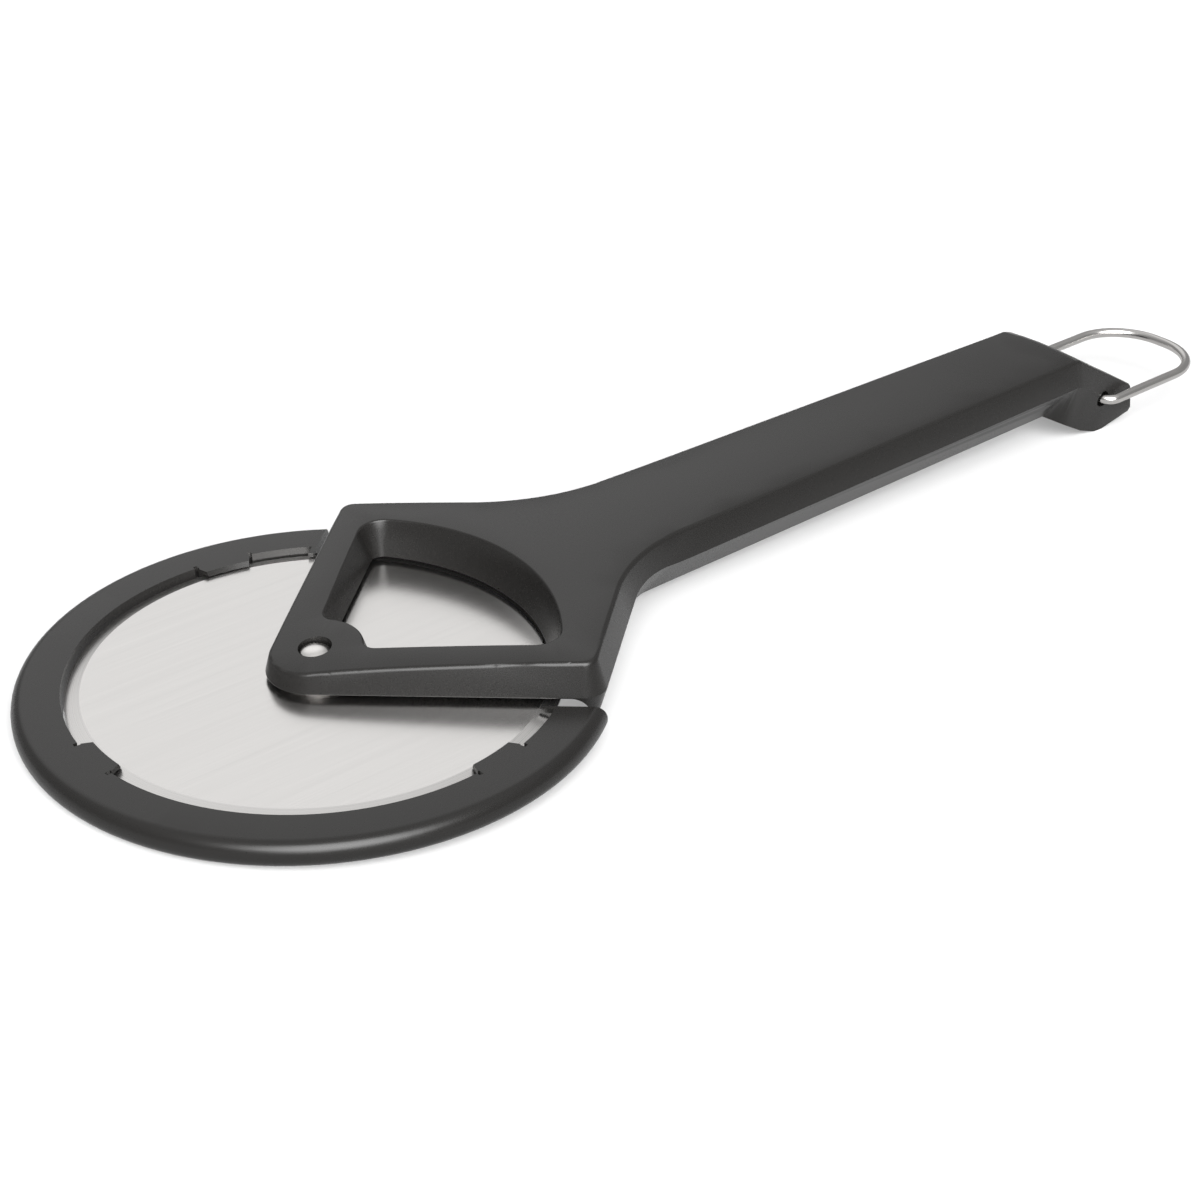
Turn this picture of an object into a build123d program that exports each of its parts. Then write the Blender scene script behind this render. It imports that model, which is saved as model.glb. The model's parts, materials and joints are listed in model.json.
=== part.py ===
from build123d import *
from math import atan2, cos, degrees, radians, sin, sqrt, tan
import os

# A pizza cutter with a one-sided fork. Everything is drawn about the axle: X runs along the
# handle, Z is up, and height zero is the flat top of the blade. All lengths are millimetres.
# At the end every piece is moved so that the origin is the middle of the footprint, on the
# table side.

# Blade: a steel disc ground to an edge from both faces
blade_radius = 45.0
blade_thickness = 1.4
bevel_width = 2.75
edge_land = 0.1

# Pivot: a rivet through the fork and the blade, with a sleeve for the blade to turn on
shank_radius = 1.6
sleeve_wall = 0.55
running_clearance = 0.05
end_float = 0.05
upper_washer_radius = 7.0
lower_washer_radius = 6.0
lower_washer_thickness = 0.5
head_radius = 2.65
head_rim_height = 0.7
head_dome_height = 0.7
tail_radius = 3.4
tail_rim_height = 0.9
tail_dome_height = 0.7

# Fork: one flat arm above the blade, with a window, drawn on its underside
fork_clearance = 1.0
apex_radius = 9.2
fork_side_angle = 41.6
fork_corner_radius = 4.4
arm_width = 9.7
recess_radius = 3.1
recess_floor_height = 4.0
web_width = 8.1
boss_radius = 10.4
window_corner_radius = 2.4
boss_corner_radius = 0.8
wall_draft_angle = 15.0
window_draft_angle = 18.0

# Neck: the fork's back edges run in to the grip
neck_overhang = 2.8
neck_back_angle = 40.4
neck_blend_radius = 38.0
lower_blend_radius = 8.0
bay_clearance = 5.3
bay_corner_radius = 3.0

# Grip: a tapering bar with side walls that lean out to a belt and a lower facet that leans in
grip_end_x = 197.0
grip_half_width = 12.87
grip_taper_share = 0.0185
grip_base_inset = 6.17
base_depth = 5.43
lower_grip_angle = 37.0
lower_neck_angle = 16.0
lower_inset = 0.1

# Top surface: level over the grip, falling to the axle, and slightly crowned across
top_height = 8.75
top_fall_start_x = 52.0
top_fall_radius = 410.0
grip_crown_radius = 110.0
fork_crown_radius = 1000.0
crown_start_x = 35.0
crown_end_x = 95.0
top_edge_radius = 1.0
window_edge_radius = 0.5

# Rear end: the grip bends down to a blunt tip, with a foot under it
break_setback = 1.0
foot_front_x = 191.2
foot_lead = 3.2
foot_sink = 0.5
foot_toe_x = 201.0
foot_crest_x = 206.7
tip_x = 217.1
rear_slope_angle = 30.7
foot_toe_depth = 10.7
foot_crest_depth = 12.7
foot_depth = 12.3
tip_depth = 10.2
foot_flare_inset = 2.77
tip_inset = 1.67
tip_belt_inset = 1.17
rear_belt_lift = 0.4
tip_edge_radius = 0.3
hole_x = 206.0
hole_depth = 3.7

# Hanging loop: a bent wire whose ends sit in the cross hole of the rear end
wire_radius = 1.1
hole_clearance = 0.8
loop_outset = 0.93
loop_reach = 35.9
loop_bend_radius = 12.5
loop_end_bend_radius = 2.8
loop_end_gap = 9.0

# Blade guard: an open ring round the free part of the edge, held by three tabs
guard_gap = 0.5
guard_width = 8.8
guard_top_height = 1.08
guard_depth = 3.95
guard_outer_fillet = 2.4
guard_fork_gap = 2.4
tab_reach = 2.4
tab_under_height = 0.15
tab_angles = (-80.0, 80.0, 180.0)
tab_half_angle = 5.7
tab_root_half_angle = 7.0
tab_end_lean = 0.5
root_sink = 1.0
notch_depth = 0.8
notch_width = 0.8
end_wall_thickness = 0.9
end_wall_reach = 2.6

overrun = 5.0
top_edge_rounds = 4


def rise(length, angle):
    """Height or offset gained over a length at an angle in degrees."""
    return length * tan(radians(angle))


def across(x):
    """Sketch plane square to the handle at x, drawn in Y and Z."""
    return Plane(origin=(x, 0, 0), x_dir=(0, 1, 0), z_dir=(1, 0, 0))


def level(height):
    """Horizontal sketch plane at a height."""
    return Plane.XY.offset(height)


def grip_half_width_at(x, end_half_width):
    """Half-width of the tapering grip at x, from its half-width at the end."""
    return end_half_width + grip_taper_share * (grip_end_x - x)


def line_crossing(angle_a, distance_a, angle_b, distance_b):
    """Point where two plan lines cross, each given by its normal's angle and its distance."""
    a, b = radians(angle_a), radians(angle_b)
    spread = sin(b - a)
    x = (distance_a * sin(b) - distance_b * sin(a)) / spread
    y = (distance_b * cos(a) - distance_a * cos(b)) / spread
    return x, y


break_start_x = grip_end_x - break_setback
break_end_x = grip_end_x + break_setback * cos(radians(rear_slope_angle))
grip_base_half_width = grip_half_width - grip_base_inset
foot_flare_half_width = grip_half_width - foot_flare_inset
tip_half_width = grip_half_width - tip_inset
tip_belt_half_width = grip_half_width - tip_belt_inset
loop_half_width = grip_half_width + loop_outset
neck_back_distance = blade_radius + bay_clearance + neck_overhang
side_normal = 90 + fork_side_angle
back_normal = 90 - neck_back_angle
grip_normal = 90 - degrees(atan2(grip_taper_share, 1))


def plan_outline(outset, grip_outset, neck_radius):
    """Outline of the fork, neck and grip, moved outwards from the one on the underside."""
    end_half_width = grip_half_width + grip_outset
    grip_distance = (end_half_width + grip_taper_share * grip_end_x) * sin(radians(grip_normal))
    side_distance = apex_radius + outset
    back_distance = neck_back_distance + outset
    corner = line_crossing(side_normal, side_distance, back_normal, back_distance)
    neck = line_crossing(back_normal, back_distance, grip_normal, grip_distance)
    end_x = grip_end_x + overrun + overrun
    end = (end_x, grip_half_width_at(end_x, end_half_width))
    apex = (-side_distance / sin(radians(fork_side_angle)), 0)
    half = [corner, neck, end]
    points = [apex] + [(x, -y) for x, y in half] + half[::-1]
    corner_radius = fork_corner_radius + outset
    radii = [side_distance, corner_radius, neck_radius, 0, 0, neck_radius, corner_radius]
    return make_face(FilletPolyline(*points, radius=radii, close=True))


def crown_radius_at(x):
    """Radius of the top surface across the handle, from nearly flat to crowned."""
    along = min(max((x - crown_start_x) / (crown_end_x - crown_start_x), 0), 1)
    blend = along * along * (3 - 2 * along)
    return 1 / ((1 - blend) / fork_crown_radius + blend / grip_crown_radius)


def top_height_at(x):
    """Height of the top surface along the middle of the handle."""
    fall = max(top_fall_start_x - x, 0)
    return top_height - top_fall_radius + sqrt(top_fall_radius ** 2 - fall ** 2)


def top_edge_height(x, half_width):
    """Height of the crowned top at a distance from the middle."""
    radius = crown_radius_at(x)
    return top_height_at(x) - radius + sqrt(radius ** 2 - half_width ** 2)


def below_top_section(x):
    """Everything below the crowned top, as a section across the handle."""
    half = blade_radius
    edge = top_edge_height(x, half)
    floor = -base_depth - overrun
    top = ThreePointArc((half, edge), (0, top_height_at(x)), (-half, edge))
    sides = Polyline((-half, edge), (-half, floor), (half, floor), (half, edge))
    return across(x) * make_face(top + sides)


def below_top():
    """Solid under the top surface, from ahead of the fork to the end of the straight grip."""
    front = -apex_radius - overrun
    station_shares = [0, 0.1, 0.2, 0.3, 0.4, 0.5, 0.6, 0.75, 0.9, 1]
    stations = [front + share * (break_start_x - front) for share in station_shares]
    return loft([below_top_section(x) for x in stations])


def drafted_walls():
    """Fork, neck and grip with side walls that lean out on the way down."""
    down = rise(fork_clearance + base_depth, wall_draft_angle)
    grip_down = down / sin(radians(grip_normal))
    outline = level(-base_depth) * plan_outline(down, grip_down, neck_blend_radius - down)
    return extrude(outline, base_depth + top_height + overrun, taper=wall_draft_angle)


def lower_hull():
    """Hull that leans in on the way down, steep under the neck and shallow under the grip."""
    ceiling = top_height + overrun
    outlines = []
    for height, neck_radius in ((-base_depth, lower_blend_radius), (ceiling, neck_blend_radius)):
        outset = rise(height - fork_clearance, lower_neck_angle) - lower_inset
        grip_outset = grip_base_half_width - grip_half_width
        grip_outset += rise(height + base_depth, lower_grip_angle)
        outlines.append(level(height) * plan_outline(outset, grip_outset, neck_radius))
    return loft(outlines, ruled=True)


def blade_bay():
    """Room for the blade under the fork, with a rounded corner up into the arm."""
    floor = -base_depth - overrun
    bay_radius = blade_radius + bay_clearance
    bay = level(floor) * extrude(Circle(bay_radius), fork_clearance - floor)
    return fillet(bay.edges().sort_by(Axis.Z)[-1], bay_corner_radius)


def window_void():
    """Window through the fork: a sector that widens upwards, round the pivot boss."""
    distance = apex_radius - arm_width
    window_arc_radius = blade_radius + bay_clearance - web_width
    normal, along = radians(side_normal), radians(fork_side_angle)

    def on_side_line(radius, side):
        reach = sqrt(radius ** 2 - distance ** 2)
        x = distance * cos(normal) + reach * cos(along)
        return x, side * (distance * sin(normal) + reach * sin(along))

    near_boss, far_boss = on_side_line(boss_radius, -1), on_side_line(boss_radius, 1)
    near_arc, far_arc = on_side_line(window_arc_radius, -1), on_side_line(window_arc_radius, 1)
    boss = ThreePointArc(near_boss, (boss_radius, 0), far_boss)
    arc = ThreePointArc(near_arc, (window_arc_radius, 0), far_arc)
    outline = make_face(boss + arc + Line(near_boss, near_arc) + Line(far_boss, far_arc))
    outline = fillet(outline.vertices().sort_by(Axis.X)[-2:], window_corner_radius)
    outline = fillet(outline.vertices().sort_by(Axis.X)[:2], boss_corner_radius)
    outline = level(fork_clearance) * outline
    height = top_height + overrun - fork_clearance
    return extrude(outline, height, taper=-window_draft_angle) + extrude(outline, -overrun)


def grip_belt_at(x):
    """Height and half-width of the belt, where the leaning wall meets the lower facet."""
    wall_lean = rise(1, wall_draft_angle) / sin(radians(grip_normal))
    hull_lean = rise(1, lower_grip_angle)
    wall = grip_half_width_at(x, grip_half_width) + fork_clearance * wall_lean
    hull = grip_half_width_at(x, grip_base_half_width) + base_depth * hull_lean
    height = (wall - hull) / (wall_lean + hull_lean)
    return height, wall - height * wall_lean


def grip_top_edge_at(x):
    """Height and half-width of the top edge, where the leaning wall meets the crowned top."""
    belt_height, belt_half = grip_belt_at(x)
    wall_lean = rise(1, wall_draft_angle) / sin(radians(grip_normal))
    height = top_height
    for _ in range(top_edge_rounds):
        half = belt_half - (height - belt_height) * wall_lean
        height = top_edge_height(x, half)
    return height, half


def slope_drop(x):
    """How far the rear slope has fallen at x."""
    return max(rise(x - grip_end_x, rear_slope_angle), 0)


def rear_belt_at(x):
    """Height and half-width of the belt along the rear end."""
    start_height, start_half = grip_belt_at(break_start_x)
    share = (x - break_start_x) / (tip_x - break_start_x)
    lift = share * rear_belt_lift
    half = start_half + share * (tip_belt_half_width - start_half)
    return start_height - slope_drop(x) + lift, half


def rear_shell():
    """Top and side walls of the grip, bent down over a broken edge to the blunt tip."""
    edge_height, edge_half = grip_top_edge_at(break_start_x)
    crown = grip_crown_radius - sqrt(grip_crown_radius ** 2 - edge_half ** 2)
    sections = []
    for x in (break_start_x, break_end_x, tip_x):
        edge = edge_height - slope_drop(x)
        top = ThreePointArc((-edge_half, edge), (0, edge + crown), (edge_half, edge))
        height, half = rear_belt_at(x)
        low, low_half = height - foot_sink, half - 2 * foot_sink
        side = [(edge_half, edge), (half, height), (low_half, low)]
        walls = Polyline(*side, *[(-y, z) for y, z in reversed(side)])
        sections.append(across(x) * make_face(top + walls))
    return loft(sections, ruled=True)


def foot_depth_at(x):
    """Depth of the underside along the foot, from its toe over the crest to the tip."""
    toe_slope = (foot_toe_depth - base_depth) / (foot_toe_x - foot_front_x)
    sole_slope = (foot_crest_depth - foot_toe_depth) / (foot_crest_x - foot_toe_x)
    heel_slope = (tip_depth - foot_crest_depth) / (tip_x - foot_crest_x)
    toe = base_depth + toe_slope * (x - foot_front_x)
    sole = foot_crest_depth + sole_slope * (x - foot_crest_x)
    heel = foot_crest_depth + heel_slope * (x - foot_crest_x)
    return min(toe, sole, heel)


def foot_base_half_at(x):
    """Half-width of the underside along the foot, which flares out behind its toe."""
    front_half = grip_half_width_at(foot_front_x, grip_base_half_width)
    share = min(max((x - foot_front_x) / (break_start_x - foot_front_x), 0), 1)
    flare = share * share * (3 - 2 * share)
    half = front_half + flare * (foot_flare_half_width - front_half)
    back_share = max((x - break_start_x) / (tip_x - break_start_x), 0)
    return half + back_share * (tip_half_width - foot_flare_half_width)


def foot():
    """Underside of the rear end: the lower facet turns upright and runs down to the foot."""
    flare_shares = [0, 0.25, 0.5, 0.75, 1]
    stations = [foot_front_x + share * (break_start_x - foot_front_x) for share in flare_shares]
    stations = [foot_front_x - foot_lead] + stations
    stations += [break_end_x, foot_toe_x, foot_crest_x, tip_x]
    sections = []
    for x in stations:
        height, half = rear_belt_at(x)
        if x < break_start_x:
            height, half = grip_belt_at(x)
        half -= foot_sink * max((break_start_x - x) / (break_start_x - stations[0]), 0)
        base_half = foot_base_half_at(x)
        depth = foot_depth_at(x)
        points = [(half, height), (-half, height), (-base_half, -depth), (base_half, -depth)]
        sections.append(across(x) * make_face(Polyline(*points, close=True)))
    ground = level(-foot_depth) * extrude(Circle(tip_x + overrun), -overrun)
    return loft(sections, ruled=True) - ground


def cross_hole():
    """Hole across the rear end, in which the two ends of the loop turn."""
    length = 2 * (grip_half_width + overrun)
    bore = Cylinder(wire_radius + hole_clearance, length, rotation=(90, 0, 0))
    return Pos(hole_x, 0, -hole_depth) * bore


def rounded(body):
    """The moulding with small rounds along its top rim, rear slope, tip and window."""
    top = body.faces().sort_by(SortBy.AREA)[-1]
    edge_height, _ = grip_top_edge_at(break_start_x)
    straight_end = break_start_x - top_edge_radius
    rim = [edge for edge in top.outer_wire().edges() if (edge @ 0.5).X < straight_end]
    for edge in body.edges():
        middle = edge @ 0.5
        beside_slope = break_start_x < middle.X < tip_x - top_edge_radius
        off_middle = abs(middle.Y) > top_edge_radius
        near_top = abs(middle.Z - edge_height + slope_drop(middle.X)) < top_edge_radius
        if beside_slope and off_middle and near_top:
            rim.append(edge)
    body = body.solid().fillet(top_edge_radius, rim)
    tip = body.faces().sort_by(Axis.X)[-1]
    body = body.fillet(tip_edge_radius, tip.edges())
    top = body.faces().sort_by(SortBy.AREA)[-1]
    window_rim = [edge for wire in top.inner_wires() for edge in wire.edges()]
    return body.fillet(window_edge_radius, window_rim)


def make_handle():
    """One moulding: grip, neck, one-sided fork and rear end."""
    body = drafted_walls() & lower_hull() & below_top()
    body -= blade_bay()
    body -= window_void()
    body += rear_shell()
    body += foot()
    body = rounded(body)
    body -= level(recess_floor_height) * extrude(Circle(recess_radius), top_height)
    body -= level(-overrun) * extrude(Circle(shank_radius), top_height + overrun)
    return body - cross_hole()


sleeve_bore_radius = shank_radius + running_clearance
sleeve_radius = sleeve_bore_radius + sleeve_wall
blade_bore_radius = sleeve_radius + running_clearance
lower_washer_top = -blade_thickness - end_float
lower_washer_bottom = lower_washer_top - lower_washer_thickness


def make_blade():
    """Disc ground from both faces to a thin land at its edge."""
    flat_radius = blade_radius - bevel_width
    grind = (blade_thickness - edge_land) / 2
    points = [
        (blade_bore_radius, 0),
        (flat_radius, 0),
        (blade_radius, -grind),
        (blade_radius, grind - blade_thickness),
        (flat_radius, -blade_thickness),
        (blade_bore_radius, -blade_thickness),
    ]
    return revolve(Plane.XZ * make_face(Polyline(*points, close=True)), Axis.Z)


def dome_radius(radius, height):
    """Radius of the arc that rises to a height over a round rim."""
    return (radius ** 2 + height ** 2) / (2 * height)


def make_axle_rivet():
    """Rivet with a domed head in the fork's recess and a wider domed tail under the blade."""
    rim_top = recess_floor_height + head_rim_height
    tail_rim_bottom = lower_washer_bottom - tail_rim_height
    head_top = (0, rim_top + head_dome_height)
    tail_bottom = (0, tail_rim_bottom - tail_dome_height)
    head = RadiusArc((head_radius, rim_top), head_top, -dome_radius(head_radius, head_dome_height))
    tail_dome_radius = dome_radius(tail_radius, tail_dome_height)
    tail = RadiusArc(tail_bottom, (tail_radius, tail_rim_bottom), -tail_dome_radius)
    shank = Polyline(
        (tail_radius, tail_rim_bottom),
        (tail_radius, lower_washer_bottom),
        (shank_radius, lower_washer_bottom),
        (shank_radius, recess_floor_height),
        (head_radius, recess_floor_height),
        (head_radius, rim_top),
    )
    axis_line = Line(head_top, tail_bottom)
    return revolve(Plane.XZ * make_face(head + tail + shank + axis_line), Axis.Z)


def ring(outer_radius, inner_radius, low, high):
    """Flat ring about the axle between two heights."""
    return level(low) * extrude(Circle(outer_radius) - Circle(inner_radius), high - low)


def make_pivot_sleeve():
    """Tube round the shank, a little longer than the blade and its upper washer."""
    return ring(sleeve_radius, sleeve_bore_radius, lower_washer_top, fork_clearance)


def make_upper_washer():
    """Washer that fills the gap between the fork and the blade."""
    return ring(upper_washer_radius, blade_bore_radius, end_float, fork_clearance)


def make_lower_washer():
    """Washer between the blade and the rivet's tail."""
    return ring(lower_washer_radius, sleeve_bore_radius, lower_washer_bottom, lower_washer_top)


guard_inner_radius = blade_radius + guard_gap
guard_outer_radius = guard_inner_radius + guard_width
guard_end_distance = apex_radius + guard_fork_gap
guard_root_radius = guard_inner_radius + root_sink


def fork_sector(distance):
    """Sector round the fork, between planes parallel to its sides at a distance from the axle."""
    apex = -distance / sin(radians(fork_side_angle))
    reach = guard_outer_radius + overrun
    half = rise(reach - apex, fork_side_angle)
    plan = make_face(Polyline((apex, 0), (reach, -half), (reach, half), close=True))
    low = -guard_depth - overrun
    return level(low) * extrude(plan, guard_top_height + overrun - low)


def turned_section(points):
    """Ring about the axle with a straight-sided section, given as radius and height."""
    return revolve(Plane.XZ * make_face(Polyline(*points, close=True)), Axis.Z)


def guard_rim():
    """Ring outside the blade's edge, with its outer corners well rounded."""
    points = [
        (guard_inner_radius, guard_top_height),
        (guard_inner_radius, -guard_depth),
        (guard_outer_radius, -guard_depth),
        (guard_outer_radius, guard_top_height),
    ]
    section = make_face(Polyline(*points, close=True))
    section = fillet(section.vertices().sort_by(Axis.X)[2:], guard_outer_fillet)
    return revolve(Plane.XZ * section, Axis.Z)


def tab_plan(angle):
    """Column over one tab in plan: a wedge that is wider at the root."""
    tip = guard_inner_radius - tab_reach - overrun
    flare = tab_root_half_angle - tab_half_angle
    tip_half_angle = tab_half_angle - flare * overrun / tab_reach
    flank = [(tip, -tip_half_angle)]
    flank += [(radius, -tab_root_half_angle) for radius in (guard_inner_radius, guard_root_radius)]
    corners = [(radius * cos(radians(half)), radius * sin(radians(half))) for radius, half in flank]
    corners += [(x, -y) for x, y in reversed(corners)]
    plan = Rot(0, 0, angle) * make_face(Polyline(*corners, close=True))
    return level(0) * extrude(plan, guard_top_height)


def guard_tabs():
    """Three tabs that reach in over the blade's bevel, with slightly leaning ends."""
    tip = guard_inner_radius - tab_reach
    points = [
        (guard_root_radius, tab_under_height),
        (guard_root_radius, guard_top_height),
        (tip, guard_top_height),
        (tip - tab_end_lean, tab_under_height),
    ]
    plans = [tab_plan(angle) for angle in tab_angles]
    return [turned_section(points) & plan for plan in plans]


def tab_notches():
    """Small slots at the corners of each tab's root, so that the tab can flex."""
    low = -guard_depth - overrun
    front, back = guard_inner_radius - notch_width / 2, guard_inner_radius + notch_depth
    plan = Pos((front + back) / 2, 0) * Rectangle(back - front, notch_width)
    slot = extrude(level(low) * plan, guard_top_height + overrun - low)
    slots = []
    for angle in tab_angles:
        slots += [Rot(0, 0, angle + half) * slot for half in (-tab_root_half_angle, tab_root_half_angle)]
    return slots


def end_walls():
    """Thin walls that close the two ends of the rim over the blade's bevel."""
    tip = guard_inner_radius - end_wall_reach
    points = [
        (guard_root_radius, tab_under_height),
        (guard_root_radius, guard_top_height),
        (tip, guard_top_height),
        (tip, tab_under_height),
    ]
    band = fork_sector(guard_end_distance + end_wall_thickness) - fork_sector(guard_end_distance)
    return turned_section(points) & band


def make_blade_guard():
    """Open ring round the free part of the edge, clipped over it by tabs."""
    body = guard_rim() - fork_sector(guard_end_distance)
    body += guard_tabs()
    body += end_walls()
    return body - tab_notches()


def make_hanging_loop():
    """Bent wire whose two short ends point at each other in the cross hole."""
    far_x = hole_x + loop_reach
    end_y = loop_end_gap / 2
    half = [(hole_x, end_y), (hole_x, loop_half_width), (far_x, loop_half_width)]
    points = [(x, -y) for x, y in half] + half[::-1]
    radii = [loop_end_bend_radius, loop_bend_radius, loop_bend_radius, loop_end_bend_radius]
    path = level(-hole_depth) * FilletPolyline(*points, radius=radii)
    start = Plane(origin=path @ 0, z_dir=path % 0)
    return sweep(start * Circle(wire_radius), path=path)


front = -guard_outer_radius
rear = hole_x + loop_reach + wire_radius
to_origin = Pos(-(front + rear) / 2, 0, foot_depth)

pieces = {
    "handle": make_handle(),
    "blade": make_blade(),
    "axle_rivet": make_axle_rivet(),
    "pivot_sleeve": make_pivot_sleeve(),
    "upper_washer": make_upper_washer(),
    "lower_washer": make_lower_washer(),
    "blade_guard": make_blade_guard(),
    "hanging_loop": make_hanging_loop(),
}

os.makedirs("parts", exist_ok=True)
for name, piece in pieces.items():
    export_step(to_origin * piece, f"parts/{name}.step")
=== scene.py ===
# %% [markdown]
# # A wheel pizza cutter, dressed in Blender
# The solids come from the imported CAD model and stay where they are. This script adds what the
# solids can't hold: smooth shading on every curve, a blade and a wire loop that are grown from
# their rules, and the finishes, which are moulded plastic, brushed and ground steel, and drawn
# wire. Lengths are metres here, and a length written in millimetres is multiplied by MM.

import json
import math

import bpy
import bmesh
from mathutils import Matrix, Vector


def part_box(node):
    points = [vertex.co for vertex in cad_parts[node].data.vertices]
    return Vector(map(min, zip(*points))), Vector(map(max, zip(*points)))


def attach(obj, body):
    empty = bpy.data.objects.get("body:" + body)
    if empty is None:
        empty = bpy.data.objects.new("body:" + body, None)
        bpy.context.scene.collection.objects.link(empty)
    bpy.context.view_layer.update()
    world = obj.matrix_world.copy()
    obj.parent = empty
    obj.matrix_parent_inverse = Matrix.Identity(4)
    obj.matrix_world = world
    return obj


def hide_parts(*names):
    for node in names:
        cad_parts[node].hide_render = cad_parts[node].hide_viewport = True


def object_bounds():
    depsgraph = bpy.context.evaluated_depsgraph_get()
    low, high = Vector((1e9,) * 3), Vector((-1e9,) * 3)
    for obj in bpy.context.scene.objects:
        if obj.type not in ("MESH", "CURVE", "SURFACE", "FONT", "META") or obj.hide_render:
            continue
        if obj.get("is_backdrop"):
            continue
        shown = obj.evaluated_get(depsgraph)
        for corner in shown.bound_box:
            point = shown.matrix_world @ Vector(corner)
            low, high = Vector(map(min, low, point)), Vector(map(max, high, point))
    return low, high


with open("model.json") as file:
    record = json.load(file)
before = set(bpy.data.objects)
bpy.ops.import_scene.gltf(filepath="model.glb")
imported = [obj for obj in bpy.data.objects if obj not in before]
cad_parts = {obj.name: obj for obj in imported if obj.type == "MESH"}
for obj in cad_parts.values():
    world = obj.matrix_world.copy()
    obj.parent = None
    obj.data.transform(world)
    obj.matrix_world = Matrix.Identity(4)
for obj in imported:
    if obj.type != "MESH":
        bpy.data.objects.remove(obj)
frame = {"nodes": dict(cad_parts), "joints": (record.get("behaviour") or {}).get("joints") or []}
cad_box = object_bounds()
nodes = frame["nodes"]
joints = {joint["name"]: joint for joint in frame["joints"]}
MM = 0.001

for name in sorted(nodes):
    low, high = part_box(name)
    print(name, "spans", [round((b - a) / MM, 2) for a, b in zip(low, high)], "mm")

# %% [markdown]
# ## Where things are
# The blade turns about the axle, and the loop about its cross hole. Both places could be typed
# in, but they are read from the joints, so that they stay in step with the CAD model.

# %% places
AXLE = Vector(joints["blade_spin"]["pos_m"])
LOOP_HINGE = Vector(joints["loop_swing"]["pos_m"])
blade_low, blade_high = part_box("blade")
BLADE_RADIUS = (blade_high.x - blade_low.x) / 2
print("axle at", [round(v / MM, 2) for v in AXLE], "mm")
print("blade radius", round(BLADE_RADIUS / MM, 2), "mm")

# %% [markdown]
# ## The camera
# The photograph looks down on the cutter at about 30 degrees, from the blade's side, with a lens
# that is a little long. A camera could be aimed by hand. This one stands on a line through the
# point that the picture is centred on, so that its height and turn are plain angles.

# %% camera
VIEW_CENTRE = AXLE + Vector((55.9 * MM, -12.95 * MM, 0))
VIEW_DISTANCE = 434.5 * MM
VIEW_AZIMUTH = math.radians(-129.65)
VIEW_ELEVATION = math.radians(30.3)
VIEW_ROLL = math.radians(-0.17)
LENS_MM = 68.33
SENSOR_MM = 36.0

scene = bpy.context.scene
camera_data = bpy.data.cameras.new("camera")
camera_data.lens = LENS_MM
camera_data.sensor_width = SENSOR_MM
camera_data.clip_start = 10 * MM
camera = bpy.data.objects.new("camera", camera_data)
scene.collection.objects.link(camera)
scene.camera = camera
flat_share = math.cos(VIEW_ELEVATION)
towards_camera = Vector((
    flat_share * math.cos(VIEW_AZIMUTH),
    flat_share * math.sin(VIEW_AZIMUTH),
    math.sin(VIEW_ELEVATION),
))
camera.location = VIEW_CENTRE + towards_camera * VIEW_DISTANCE
look = (-towards_camera).to_track_quat("-Z", "Y")
camera.rotation_mode = "QUATERNION"
camera.rotation_quaternion = look @ Matrix.Rotation(VIEW_ROLL, 4, "Z").to_quaternion()
scene.view_settings.view_transform = "Standard"
print("camera at", [round(v / MM) for v in camera.location], "mm")

# %% [markdown]
# ## Writing graphs as sums
# A material, a room and a growing shape are all trees of nodes, which are slow to read when they
# are built one link at a time. So a signal wraps one output socket, and + - * / on signals add
# the Math nodes.

# %% signals
class Signal:
    """A number that varies over a surface or a shape: one output socket, with arithmetic."""

    def __init__(self, graph, socket):
        self.graph = graph
        self.socket = socket

    def __add__(self, other):
        return self.graph.maths("ADD", self, other)

    def __sub__(self, other):
        return self.graph.maths("SUBTRACT", self, other)

    def __rsub__(self, other):
        return self.graph.maths("SUBTRACT", other, self)

    def __mul__(self, other):
        return self.graph.maths("MULTIPLY", self, other)

    def __truediv__(self, other):
        return self.graph.maths("DIVIDE", self, other)

    __radd__ = __add__
    __rmul__ = __mul__


# %% [markdown]
# ## Making nodes by one method
# Every other node could get its own few lines, but they would all say the same. So one method
# makes any node from its kind, its settings and its inputs, and the rest of the graph calls it.

# %% graphs
class Graph:
    """A tree of nodes that is written as sums and calls."""

    def __init__(self, tree):
        self.tree = tree
        tree.nodes.clear()

    def node(self, kind, settings=None, **inputs):
        """One node: settings are set first, then each input gets a value or a link."""
        made = self.tree.nodes.new(kind)
        for name, value in (settings or {}).items():
            setattr(made, name, value)
        for name, value in inputs.items():
            self.feed(made, name.replace("_", " "), value)
        return made

    def feed(self, made, name, value):
        """Value or link into a node's input, found by its name or number."""
        socket = made.inputs[int(name[1:])] if name[0] == "#" else made.inputs[name]
        if isinstance(value, Signal):
            self.tree.links.new(value.socket, socket)
        elif hasattr(value, "is_output"):
            self.tree.links.new(value, socket)
        else:
            socket.default_value = value

    def maths(self, operation, *values):
        """Signal of one Math node."""
        made = self.node("ShaderNodeMath", {"operation": operation})
        for number, value in enumerate(values):
            self.feed(made, f"#{number}", value)
        return Signal(self, made.outputs[0])

    def vector_maths(self, operation, *values):
        """Vector Math node of an operation on vectors."""
        made = self.node("ShaderNodeVectorMath", {"operation": operation})
        for number, value in enumerate(values):
            self.feed(made, f"#{number}", value)
        return made

    def vector(self, x, y, z):
        """Vector from three numbers or signals."""
        made = self.node("ShaderNodeCombineXYZ")
        for number, value in enumerate((x, y, z)):
            self.feed(made, f"#{number}", value)
        return made.outputs[0]


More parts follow.
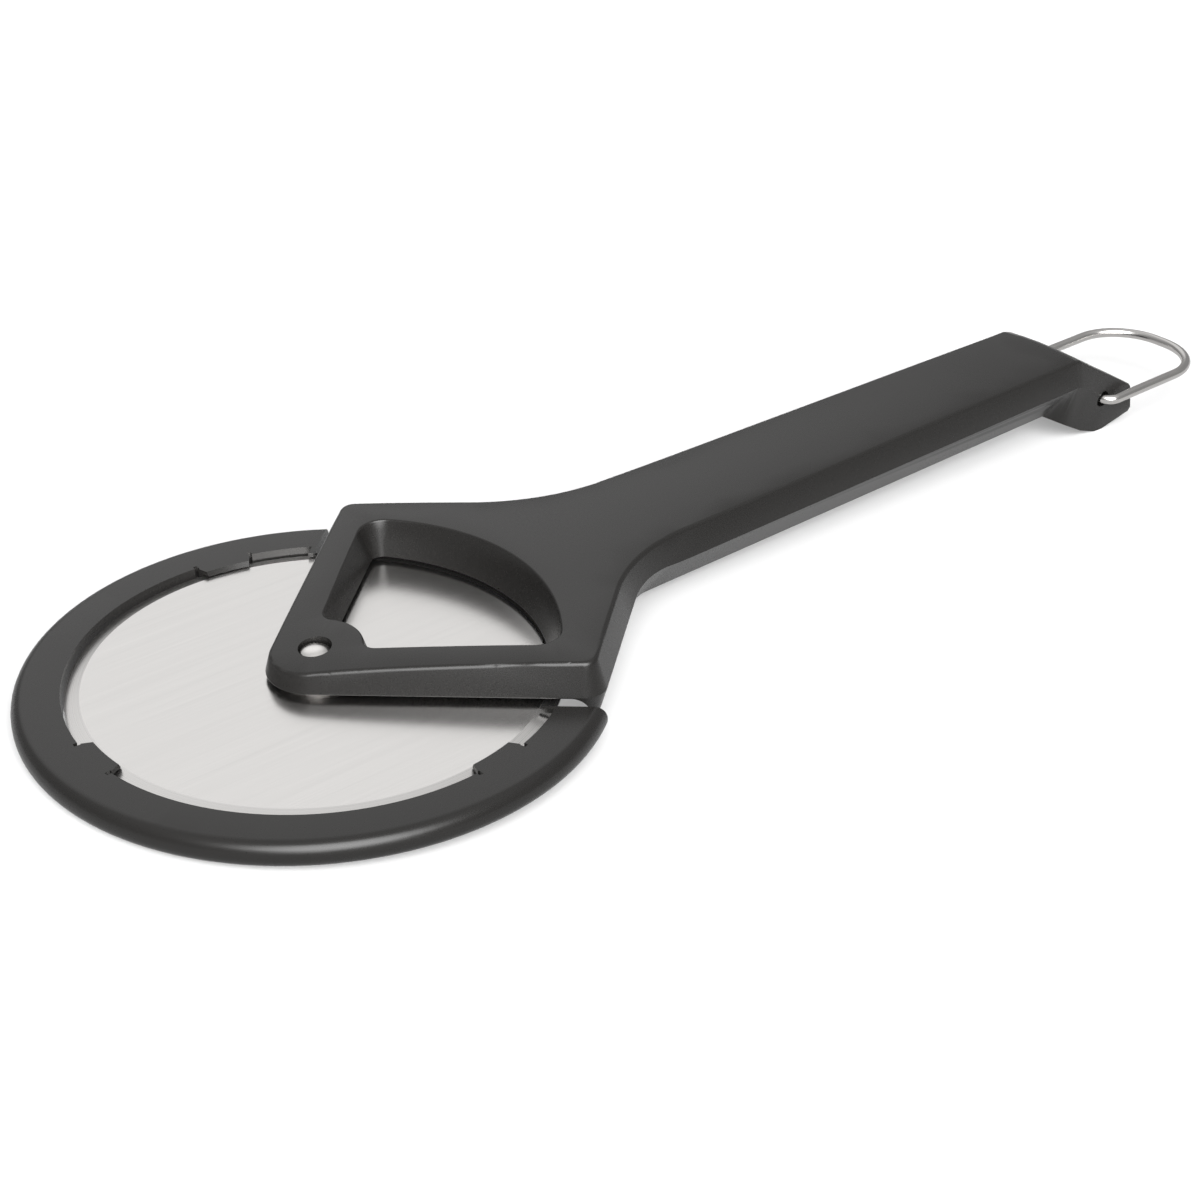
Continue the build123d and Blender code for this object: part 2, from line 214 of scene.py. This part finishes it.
# %% [markdown]
# ## Recipes for finishes
# A finish on a real object is a colour, a gloss and a fine relief, each of which varies a little
# from place to place. A recipe adds the nodes for that to a graph: places, noise, mixed colours
# and bumps.

# %% recipes
class Recipe(Graph):
    """The node graph of one finish, or of the room."""

    def __init__(self, owner):
        owner.use_nodes = True
        super().__init__(owner.node_tree)
        self.owner = owner

    def mix_colour(self, share, first, second):
        """Colour between two colours, by a share."""
        made = self.node("ShaderNodeMix", {"data_type": "RGBA"})
        self.feed(made, "#0", share)
        self.feed(made, "#6", first)
        self.feed(made, "#7", second)
        return made.outputs[2]

    def place(self, centre=(0, 0, 0), stretch=(1, 1, 1)):
        """Object coordinates about a centre, stretched along the axes, in millimetres."""
        where = self.node("ShaderNodeTexCoord").outputs["Object"]
        moved = self.vector_maths("SUBTRACT", where, tuple(centre))
        scales = tuple(share / MM for share in stretch)
        return self.node("ShaderNodeMapping", Vector=moved.outputs[0], Scale=scales).outputs[0]

    def noise(self, where, scale, detail=2.0, roughness=0.5):
        """Noise signal; scale is in cells per unit of the coordinates."""
        sizes = {"Scale": scale, "Detail": detail, "Roughness": roughness}
        return Signal(self, self.node("ShaderNodeTexNoise", Vector=where, **sizes).outputs[0])

    def bump(self, height, depth):
        """Bump from a height signal in 0 to 1, whose depth is a length."""
        return self.node("ShaderNodeBump", Strength=1.0, Distance=depth, Height=height).outputs[0]

    def ray(self, kind):
        """Signal that is 1 for one kind of light ray."""
        return Signal(self, self.node("ShaderNodeLightPath").outputs[f"Is {kind} Ray"])

    def mixed(self, share, first, second):
        """Shader between two shaders, by a share."""
        made = self.node("ShaderNodeMixShader")
        for number, value in enumerate((share, first.outputs[0], second.outputs[0])):
            self.feed(made, f"#{number}", value)
        return made

    def finish(self, shader, output="ShaderNodeOutputMaterial"):
        """Ends the graph and hands its owner over."""
        self.node(output, Surface=shader.outputs[0])
        return self.owner


def grey(level, warmth=0.0):
    """Colour of one brightness, warmer when warmth is above zero."""
    return (level * (1 + warmth), level, level * (1 - warmth), 1)


TONE_SPREAD = 0.06
print("tones vary by", TONE_SPREAD, "of their level")


# %% [markdown]
# ## Moulded plastic
# The handle and guard are dark grey plastic from a steel mould with a fine spark-eroded skin. It
# looks satin: a dark body colour under a soft sheen. A picture of plastic could be wrapped on,
# but noise in the object's own space needs no unwrapping. Three noises make it: one slow, which
# drifts the tone as flow in the mould does, one of about a third of a millimetre for the skin's
# grain, and one finer still that breaks up the highlights.

# %% moulded plastic
PLASTIC_LEVEL = 0.0105
PLASTIC_ROUGHNESS = 0.27
PLASTIC_SHEEN = 0.38
SKIN_DEPTH = 0.007 * MM
FLOW_CELLS, GRAIN_CELLS, SKIN_CELLS = 0.035, 3.1, 9.0
DARK_WARMTH, LIGHT_WARMTH = 0.05, 0.06


def moulded_plastic(name, level):
    """Satin plastic of one body colour."""
    recipe = Recipe(bpy.data.materials.new(name))
    drift = recipe.noise(recipe.place(), FLOW_CELLS, detail=1.0)
    grain = recipe.noise(recipe.place(), GRAIN_CELLS, detail=2.0)
    skin = recipe.noise(recipe.place(), SKIN_CELLS, detail=1.0)
    dark = grey(level * (1 - TONE_SPREAD), DARK_WARMTH)
    light = grey(level * (1 + TONE_SPREAD), LIGHT_WARMTH)
    tone = recipe.mix_colour(drift, dark, light)
    shader = recipe.node("ShaderNodeBsdfPrincipled")
    recipe.feed(shader, "Base Color", tone)
    recipe.feed(shader, "Roughness", PLASTIC_ROUGHNESS - 0.03 + drift * 0.03 + grain * 0.05)
    recipe.feed(shader, "Specular IOR Level", PLASTIC_SHEEN)
    recipe.feed(shader, "Normal", recipe.bump(grain * 0.7 + skin * 0.3, SKIN_DEPTH))
    return recipe.finish(shader)


handle_plastic = moulded_plastic("handle_plastic", PLASTIC_LEVEL)
guard_plastic = moulded_plastic("guard_plastic", PLASTIC_LEVEL)
print("plastic", PLASTIC_LEVEL, "bright, roughness", PLASTIC_ROUGHNESS)

# %% [markdown]
# ## Brushed and ground steel
# The disc is cut from sheet that was brushed along one direction, so its face carries long fine
# streaks that run the way of the handle. The bevel was ground on a wheel, and its marks run round
# the edge instead. An anisotropic shader could stretch the gloss, but it draws no streaks. So
# both come from noise that is stretched: along one axis on the face, and by the distance from
# the axle on the bevel.

# %% blade steel
BEVEL_START_MM = 42.25
STEEL_DARK, STEEL_LIGHT, STEEL_WARMTH = 0.64, 0.78, 0.02
BRUSH_DEPTH = 0.005 * MM
RING_CELLS = 6.0
STEEL_ROUGHNESS, MARK_ROUGHNESS, GROUND_ROUGHNESS = 0.18, 0.08, 0.06
FINE_STREAKS = (0.03, 3.2, 1)
BROAD_STREAKS = (0.012, 0.5, 1)


def blade_steel():
    """Steel that is brushed on the flat and ground on the bevel."""
    recipe = Recipe(bpy.data.materials.new("blade_steel"))
    about_axle = recipe.place(AXLE)
    flat = recipe.vector_maths("MULTIPLY", about_axle, (1, 1, 0))
    radius = Signal(recipe, recipe.vector_maths("LENGTH", flat.outputs[0]).outputs["Value"])
    on_bevel = recipe.maths("GREATER_THAN", radius, BEVEL_START_MM)
    fine = recipe.noise(recipe.place(AXLE, FINE_STREAKS), 1.0, detail=4.0, roughness=0.6)
    broad = recipe.noise(recipe.place(AXLE, BROAD_STREAKS), 1.0, detail=2.0)
    rings = recipe.noise(recipe.vector(radius * RING_CELLS, 0.0, 0.0), 1.0, detail=3.0)
    streak = fine * 0.6 + broad * 0.4
    marks = streak * (1 - on_bevel) + rings * on_bevel
    dark, light = grey(STEEL_DARK, STEEL_WARMTH), grey(STEEL_LIGHT, STEEL_WARMTH)
    tone = recipe.mix_colour(marks, dark, light)
    shader = recipe.node("ShaderNodeBsdfPrincipled", Metallic=1.0)
    recipe.feed(shader, "Base Color", tone)
    roughness = STEEL_ROUGHNESS + marks * MARK_ROUGHNESS + on_bevel * GROUND_ROUGHNESS
    recipe.feed(shader, "Roughness", roughness)
    recipe.feed(shader, "Normal", recipe.bump(marks, BRUSH_DEPTH))
    return recipe.finish(shader)


print("the bevel starts", BEVEL_START_MM, "mm from the axle")

# %% [markdown]
# ## Polished rivet and drawn wire
# The rivet's head was pressed and then tumbled bright, so it has only a faint mottled pattern.
# The wire was drawn through a die, which leaves lines along its length. They have to follow the
# bends, which lines in the object's own space can't do. So they are read from a place on the wire
# that the wire's own tree stores: the distance along it, and two coordinates across its section.

# %% bright steels
WIRE_PLACE = "wire_place"
WIRE_SQUEEZE = 0.04
BRIGHT_WARMTH = 0.025


def bright_steel(name, level, roughness, where, scale, line_depth):
    """Bright steel with faint marks, from noise at the places that a function gives."""
    recipe = Recipe(bpy.data.materials.new(name))
    lines = recipe.noise(where(recipe), scale, detail=3.0)
    dark = grey(level * (1 - TONE_SPREAD), BRIGHT_WARMTH)
    light = grey(level * (1 + TONE_SPREAD), BRIGHT_WARMTH)
    tone = recipe.mix_colour(lines, dark, light)
    shader = recipe.node("ShaderNodeBsdfPrincipled", Metallic=1.0)
    recipe.feed(shader, "Base Color", tone)
    recipe.feed(shader, "Roughness", roughness - 0.02 + lines * 0.05)
    recipe.feed(shader, "Normal", recipe.bump(lines, line_depth))
    return recipe.finish(shader)


def along_wire(recipe):
    """Place on the wire, squeezed lengthwise so that noise turns into drawn lines."""
    stored = recipe.node("ShaderNodeAttribute", {"attribute_name": WIRE_PLACE}).outputs["Vector"]
    shares = (WIRE_SQUEEZE / MM, 1 / MM, 1 / MM)
    return recipe.vector_maths("MULTIPLY", stored, shares).outputs[0]


pivot_steel = bright_steel("pivot_steel", 0.82, 0.24, Recipe.place, 2.0, 0.002 * MM)
wire_steel = bright_steel("wire_steel", 0.6, 0.2, along_wire, 3.0, 0.003 * MM)
print("bright steels for the pivot and the wire")

# %% [markdown]
# ## Smooth copies of the solids
# A CAD node arrives as loose triangles. A Bevel or a Subdivision modifier could soften it, but
# its rounds are already there, so it only needs shading. A copy is merged, and every edge that
# turns by more than a set angle is marked sharp: rounds shade smoothly, true corners stay crisp.

# %% smooth copies
MERGE_DISTANCE = 0.001 * MM
SOLID_SHARP_ANGLE = 20.0


def shade(work, sharp_angle):
    """Smooth shading with crisp corners, on a mesh that is being edited."""
    limit = math.radians(sharp_angle)
    for face in work.faces:
        face.smooth = True
    for edge in work.edges:
        edge.smooth = edge.calc_face_angle(0.0) < limit


def hand_over(mesh, piece_name, body, node):
    """Piece that rides on its body and stands for a CAD node."""
    piece = bpy.data.objects.new(piece_name, mesh)
    scene.collection.objects.link(piece)
    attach(piece, body)
    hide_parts(node)
    print(piece_name, "has", len(mesh.polygons), "faces")


def smooth_copy(node, body, material):
    """Merged and shaded copy of a CAD node."""
    mesh = nodes[node].data.copy()
    mesh.name = node + "_smooth"
    work = bmesh.new()
    work.from_mesh(mesh)
    bmesh.ops.remove_doubles(work, verts=work.verts, dist=MERGE_DISTANCE)
    shade(work, SOLID_SHARP_ANGLE)
    work.to_mesh(mesh)
    work.free()
    if "custom_normal" in mesh.attributes:
        mesh.attributes.remove(mesh.attributes["custom_normal"])
    mesh.materials.clear()
    mesh.materials.append(material)
    hand_over(mesh, node + "_smooth", body, node)


# %% dressing the solids
finishes = {
    "handle": ("frame", handle_plastic, "handle_plastic"),
    "axle_rivet": ("frame", pivot_steel, "pivot_steel"),
    "pivot_sleeve": ("frame", pivot_steel, "pivot_steel"),
    "upper_washer": ("frame", pivot_steel, "pivot_steel"),
    "lower_washer": ("frame", pivot_steel, "pivot_steel"),
    "blade_guard": ("guard", guard_plastic, "guard_plastic"),
}
for node, (body, material, slot) in finishes.items():
    smooth_copy(node, body, material)

# %% [markdown]
# ## Growing a piece from a rule
# The blade and the loop each follow a rule: a section turned about an axis, and a section swept
# along a bent line. They could be smooth copies too, but a tree of Geometry Nodes with its sizes
# as inputs gives finer facets and keeps each size in one place. Its result is then frozen into
# a plain mesh.

# %% growing
class Growth(Graph):
    """A Geometry Nodes tree with named inputs."""

    def __init__(self, name, sizes):
        super().__init__(bpy.data.node_groups.new(name, "GeometryNodeTree"))
        self.values = {}
        for label, value in sizes.items():
            kind = "NodeSocketFloat"
            if isinstance(value, int):
                kind = "NodeSocketInt"
            elif isinstance(value, Vector):
                kind = "NodeSocketVector"
            elif isinstance(value, bpy.types.Material):
                kind = "NodeSocketMaterial"
            socket = self.tree.interface.new_socket(label, in_out="INPUT", socket_type=kind)
            self.values[socket.identifier] = value
        self.tree.interface.new_socket("Shape", in_out="OUTPUT", socket_type="NodeSocketGeometry")
        self.entry = self.tree.nodes.new("NodeGroupInput")

    def size(self, label):
        """Signal of a named input."""
        return Signal(self, self.entry.outputs[label])

    def choose(self, number, choices, kind="FLOAT"):
        """The choice that a whole number picks, from a list of values or signals."""
        made = self.node("GeometryNodeIndexSwitch", {"data_type": kind})
        while len(made.index_switch_items) < len(choices):
            made.index_switch_items.new()
        self.feed(made, "Index", number)
        for place, choice in enumerate(choices):
            self.feed(made, str(place), choice)
        return made.outputs[0]

    def harvest(self, shape, piece_name, body, slot, node, sharp_angle):
        """Ends the tree, freezes its result into a plain mesh and hands it over."""
        real = self.node("GeometryNodeRealizeInstances", Geometry=shape)
        painted = self.node("GeometryNodeSetMaterial", Geometry=real.outputs[0])
        self.feed(painted, "Material", self.size("Finish"))
        self.node("NodeGroupOutput", Shape=painted.outputs[0])
        seed = bpy.data.objects.new(piece_name + "_seed", bpy.data.meshes.new(piece_name + "_seed"))
        scene.collection.objects.link(seed)
        modifier = seed.modifiers.new(piece_name, "NODES")
        modifier.node_group = self.tree
        for identifier, value in self.values.items():
            modifier[identifier] = value
        grown = seed.evaluated_get(bpy.context.evaluated_depsgraph_get())
        mesh = bpy.data.meshes.new_from_object(grown)
        seed.modifiers.remove(modifier)
        bpy.data.objects.remove(seed)
        work = bmesh.new()
        work.from_mesh(mesh)
        shade(work, sharp_angle)
        bmesh.ops.recalc_face_normals(work, faces=work.faces)
        work.to_mesh(mesh)
        work.free()
        hand_over(mesh, piece_name, body, node)


# %% [markdown]
# ## The blade
# The blade is a disc of 1.4 mm steel with a hole, ground to an edge from both faces. A lathe
# could turn it as it turns the real one: its section has six corners, and a grid of points bends
# round both the section and the axle. The grid's last row and column lie on its first ones and
# are merged with them, so that the disc is closed. The bevel leans by only 13 degrees, so its
# edge is marked sharp at a smaller angle than the solids' edges.

# %% blade
SECTION_CORNERS = 6
BLADE_SHARP_ANGLE = 8.0
BLADE_SIZES = {
    "Bore radius": 2.25 * MM,
    "Flat radius": BEVEL_START_MM * MM,
    "Edge radius": BLADE_RADIUS,
    "Thickness": blade_high.z - blade_low.z,
    "Edge land": 0.1 * MM,
    "Centre": Vector((AXLE.x, AXLE.y, blade_high.z)),
    "Columns": 360,
    "Finish": blade_steel(),
}


def grow_blade():
    """Disc that is turned from its section, six corners by a few hundred columns."""
    growth = Growth("turned_disc", BLADE_SIZES)
    bore, flat, edge = (growth.size(label + " radius") for label in ("Bore", "Flat", "Edge"))
    thickness, columns = growth.size("Thickness"), growth.size("Columns")
    ground = (thickness - growth.size("Edge land")) / 2.0
    rows = SECTION_CORNERS + 1
    grid = growth.node("GeometryNodeMeshGrid", Vertices_X=columns + 1, Vertices_Y=rows)
    index = Signal(growth, growth.node("GeometryNodeInputIndex").outputs[0])
    column = growth.maths("FLOOR", index / rows)
    corner = growth.maths("MODULO", index - column * rows, float(SECTION_CORNERS))
    radii = [bore, flat, edge, edge, flat, bore]
    heights = [0.0, 0.0, 0.0 - ground, ground - thickness, 0.0 - thickness, 0.0 - thickness]
    radius = Signal(growth, growth.choose(corner, radii))
    height = Signal(growth, growth.choose(corner, heights))
    angle = column / columns * math.tau
    place = growth.vector(
        radius * growth.maths("COSINE", angle), radius * growth.maths("SINE", angle), height
    )
    centred = growth.vector_maths("ADD", place, growth.size("Centre")).outputs[0]
    turned = growth.node("GeometryNodeSetPosition", Geometry=grid.outputs["Mesh"], Position=centred)
    closed = growth.node("GeometryNodeMergeByDistance", Geometry=turned.outputs[0])
    growth.feed(closed, "Distance", MERGE_DISTANCE)
    growth.harvest(
        closed.outputs[0], "blade_disc", "blade", "blade_steel", "blade", BLADE_SHARP_ANGLE
    )


grow_blade()

# %% [markdown]
# ## The hanging loop
# The loop is one piece of round wire. It enters the handle's cross hole from both sides, turns
# back along the handle, and rounds off at the far end. A curve could be drawn by hand, but a bent
# wire is made by rule: the tree draws the straight lines through its corners, rounds them by the
# two bending radii, and sweeps a circle along the result.

# %% loop
LOOP_SHARP_ANGLE = 40.0
LOOP_SIZES = {
    "Hinge": LOOP_HINGE,
    "Half width": 13.8 * MM,
    "Reach": 35.9 * MM,
    "End gap": 9.0 * MM,
    "Far bend radius": 12.5 * MM,
    "End bend radius": 2.8 * MM,
    "Wire radius": 1.1 * MM,
    "Bend steps": 14,
    "Section sides": 20,
    "Finish": wire_steel,
}


def grow_loop():
    """Round wire that is swept along straight lines with rounded corners."""
    growth = Growth("bent_wire", LOOP_SIZES)
    side, reach = growth.size("Half width"), growth.size("Reach")
    tip = growth.size("End gap") / 2.0
    far, near = growth.size("Far bend radius"), growth.size("End bend radius")
    half = [(0.0, tip), (0.0, side), (reach, side)]
    corners = [growth.vector(x, 0.0 - y, 0.0) for x, y in half]
    corners += [growth.vector(x, y, 0.0) for x, y in reversed(half)]
    line = growth.node("GeometryNodeMeshLine", Count=len(corners))
    index = growth.node("GeometryNodeInputIndex").outputs[0]
    place = growth.choose(index, corners, "VECTOR")
    centred = growth.vector_maths("ADD", place, growth.size("Hinge")).outputs[0]
    placed = growth.node("GeometryNodeSetPosition", Geometry=line.outputs[0], Position=centred)
    path = growth.node("GeometryNodeMeshToCurve", Mesh=placed.outputs[0])
    radius = growth.choose(index, [0.0, near, far, far, near, 0.0])
    bent = growth.node("GeometryNodeFilletCurve", {"mode": "POLY"}, Curve=path.outputs[0])
    growth.feed(bent, "Radius", radius)
    growth.feed(bent, "Count", growth.size("Bend steps"))
    length = growth.node("GeometryNodeSplineParameter").outputs["Length"]
    marked = growth.node("GeometryNodeStoreNamedAttribute", Geometry=bent.outputs[0], Name="along")
    growth.feed(marked, "Value", length)
    circle = growth.node("GeometryNodeCurvePrimitiveCircle", Radius=growth.size("Wire radius"))
    growth.feed(circle, "Resolution", growth.size("Section sides"))
    vectors = {"data_type": "FLOAT_VECTOR"}
    across = growth.node("GeometryNodeStoreNamedAttribute", vectors, Name="across")
    growth.feed(across, "Geometry", circle.outputs[0])
    growth.feed(across, "Value", growth.node("GeometryNodeInputPosition").outputs[0])
    swept = growth.node("GeometryNodeCurveToMesh", Curve=marked.outputs[0])
    growth.feed(swept, "Profile Curve", across.outputs[0])
    growth.feed(swept, "Fill Caps", True)
    run = growth.node("GeometryNodeInputNamedAttribute", {"data_type": "FLOAT"}, Name="along")
    spread = growth.node("GeometryNodeInputNamedAttribute", vectors, Name="across")
    split = growth.node("ShaderNodeSeparateXYZ", Vector=spread.outputs[0])
    stored = growth.node("GeometryNodeStoreNamedAttribute", vectors, Name=WIRE_PLACE)
    growth.feed(stored, "Geometry", swept.outputs[0])
    growth.feed(stored, "Value", growth.vector(run.outputs[0], split.outputs[0], split.outputs[1]))
    growth.harvest(
        stored.outputs[0], "loop_wire", "loop", "wire_steel", "hanging_loop", LOOP_SHARP_ANGLE
    )


grow_loop()

# %% [markdown]
# ## The floor
# The cutter stands on the foot under its rear end and on the front of the guard, so it leans
# forward by about two degrees. The floor is laid through those two places, rather than the
# cutter tipped, so that every piece stays where the CAD model has it. The floor is matte, so that
# it keeps the shadow, and has a share of plain white where it is looked at or mirrored. Less of
# its light comes back up under the cutter, as on a table that is small and far from white walls.

# %% floor
guard_low, guard_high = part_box("blade_guard")
FOOT_EDGE_X = 111.21 * MM
GUARD_ROUND = 2.4 * MM
GUARD_CONTACT_X = guard_low.x + GUARD_ROUND
floor_slope = guard_low.z / (FOOT_EDGE_X - GUARD_CONTACT_X)
FLOOR_HALF = 3.0
floor_mesh = bpy.data.meshes.new("floor")
corners = []
for x_side, y_side in ((-1, -1), (1, -1), (1, 1), (-1, 1)):
    x = x_side * FLOOR_HALF
    corners.append((x, y_side * FLOOR_HALF, (FOOT_EDGE_X - x) * floor_slope))
floor_mesh.from_pydata(corners, [], [(0, 1, 2, 3)])
floor = bpy.data.objects.new("floor", floor_mesh)
scene.collection.objects.link(floor)
floor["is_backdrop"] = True
print("floor leans by", round(math.degrees(math.atan(floor_slope)), 2), "degrees")

# %% floor finish
FLOOR_GLOW = 0.3
FLOOR_PALE = 0.68
FLOOR_DULL = 0.34


def floor_finish():
    """Pale matte floor with a share of plain white, where it is looked at or mirrored."""
    recipe = Recipe(bpy.data.materials.new("floor_white"))
    camera_ray = recipe.ray("Camera")
    pale = recipe.node("ShaderNodeBsdfDiffuse", Color=grey(FLOOR_PALE))
    dull = recipe.node("ShaderNodeBsdfDiffuse", Color=grey(FLOOR_DULL))
    glow = recipe.node("ShaderNodeEmission", Color=grey(1.0), Strength=1.0)
    looked_at = camera_ray + recipe.ray("Glossy") + recipe.ray("Transmission")
    white = recipe.maths("MINIMUM", looked_at, 1.0) * FLOOR_GLOW
    return recipe.finish(recipe.mixed(white, recipe.mixed(camera_ray, dull, pale), glow))


floor_mesh.materials.append(floor_finish())
print("floor", FLOOR_PALE, "bright, with a share of white of", FLOOR_GLOW)

# %% [markdown]
# ## The light
# The cutter stands in a room that looks white. Lamps could light it, but a room is easier to
# shape: its brightness is a number that depends on the direction alone, so it is written as a sum
# of soft patches. A grey base fills everything. A white wall stands low behind the cutter, where
# the blade mirrors it. A big soft box beside the camera draws the light line along every rounded
# edge, a wide glow at the zenith lights the floor, and a faint one on the camera's side lifts
# the walls of the handle. The camera itself sees plain white everywhere.

# %% room
ROOM_BASE = 0.33
WALL = {"azimuth": 65, "elevation": 39, "inner": 14, "outer": 30}
SOFT_BOX = {"azimuth": -118, "elevation": 41, "inner": 8, "outer": 36}
SOFT_BOX_GAIN = 10.8
ZENITH = {"azimuth": 0, "elevation": 90, "inner": 5, "outer": 60}
ZENITH_GAIN = 0.35
NEAR_SIDE = {"azimuth": -112, "elevation": 3, "inner": 6, "outer": 32}
NEAR_SIDE_GAIN = 0.55


def patch(recipe, azimuth, elevation, inner, outer):
    """Share from 0 to 1 of a soft round patch of sky, by its half-angles in degrees."""
    flat = math.cos(math.radians(elevation))
    axis = (
        flat * math.cos(math.radians(azimuth)),
        flat * math.sin(math.radians(azimuth)),
        math.sin(math.radians(elevation)),
    )
    direction = recipe.node("ShaderNodeTexCoord").outputs["Generated"]
    facing = recipe.vector_maths("DOT_PRODUCT", direction, axis)
    share = recipe.node("ShaderNodeMapRange", {"interpolation_type": "SMOOTHSTEP"})
    recipe.feed(share, "Value", facing.outputs["Value"])
    recipe.feed(share, "From Min", math.cos(math.radians(outer)))
    recipe.feed(share, "From Max", math.cos(math.radians(inner)))
    return Signal(recipe, share.outputs[0])


def room_light():
    """World whose strength is the sum of its patches, and white where the camera looks."""
    recipe = Recipe(bpy.data.worlds.new("room"))
    mirrored = recipe.ray("Glossy") + recipe.ray("Transmission")
    shown_white = recipe.ray("Camera") + mirrored * patch(recipe, **WALL)
    white = recipe.maths("MINIMUM", shown_white, 1.0)
    light = ROOM_BASE + SOFT_BOX_GAIN * patch(recipe, **SOFT_BOX)
    light = light + ZENITH_GAIN * patch(recipe, **ZENITH)
    light = light + NEAR_SIDE_GAIN * patch(recipe, **NEAR_SIDE)
    strength = light * (1 - white) + white
    glow = recipe.node("ShaderNodeBackground", Color=grey(1.0), Strength=strength)
    return recipe.finish(glow, "ShaderNodeOutputWorld")


scene.world = room_light()
print("room of", ROOM_BASE, "with a soft box of", SOFT_BOX_GAIN)

# %% finish
dressed_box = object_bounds()
boxes = {"cad": [list(v) for v in cad_box], "visual": [list(v) for v in dressed_box]}
for name, box in boxes.items():
    print(name, [[round(x / MM, 2) for x in corner] for corner in box], "mm")
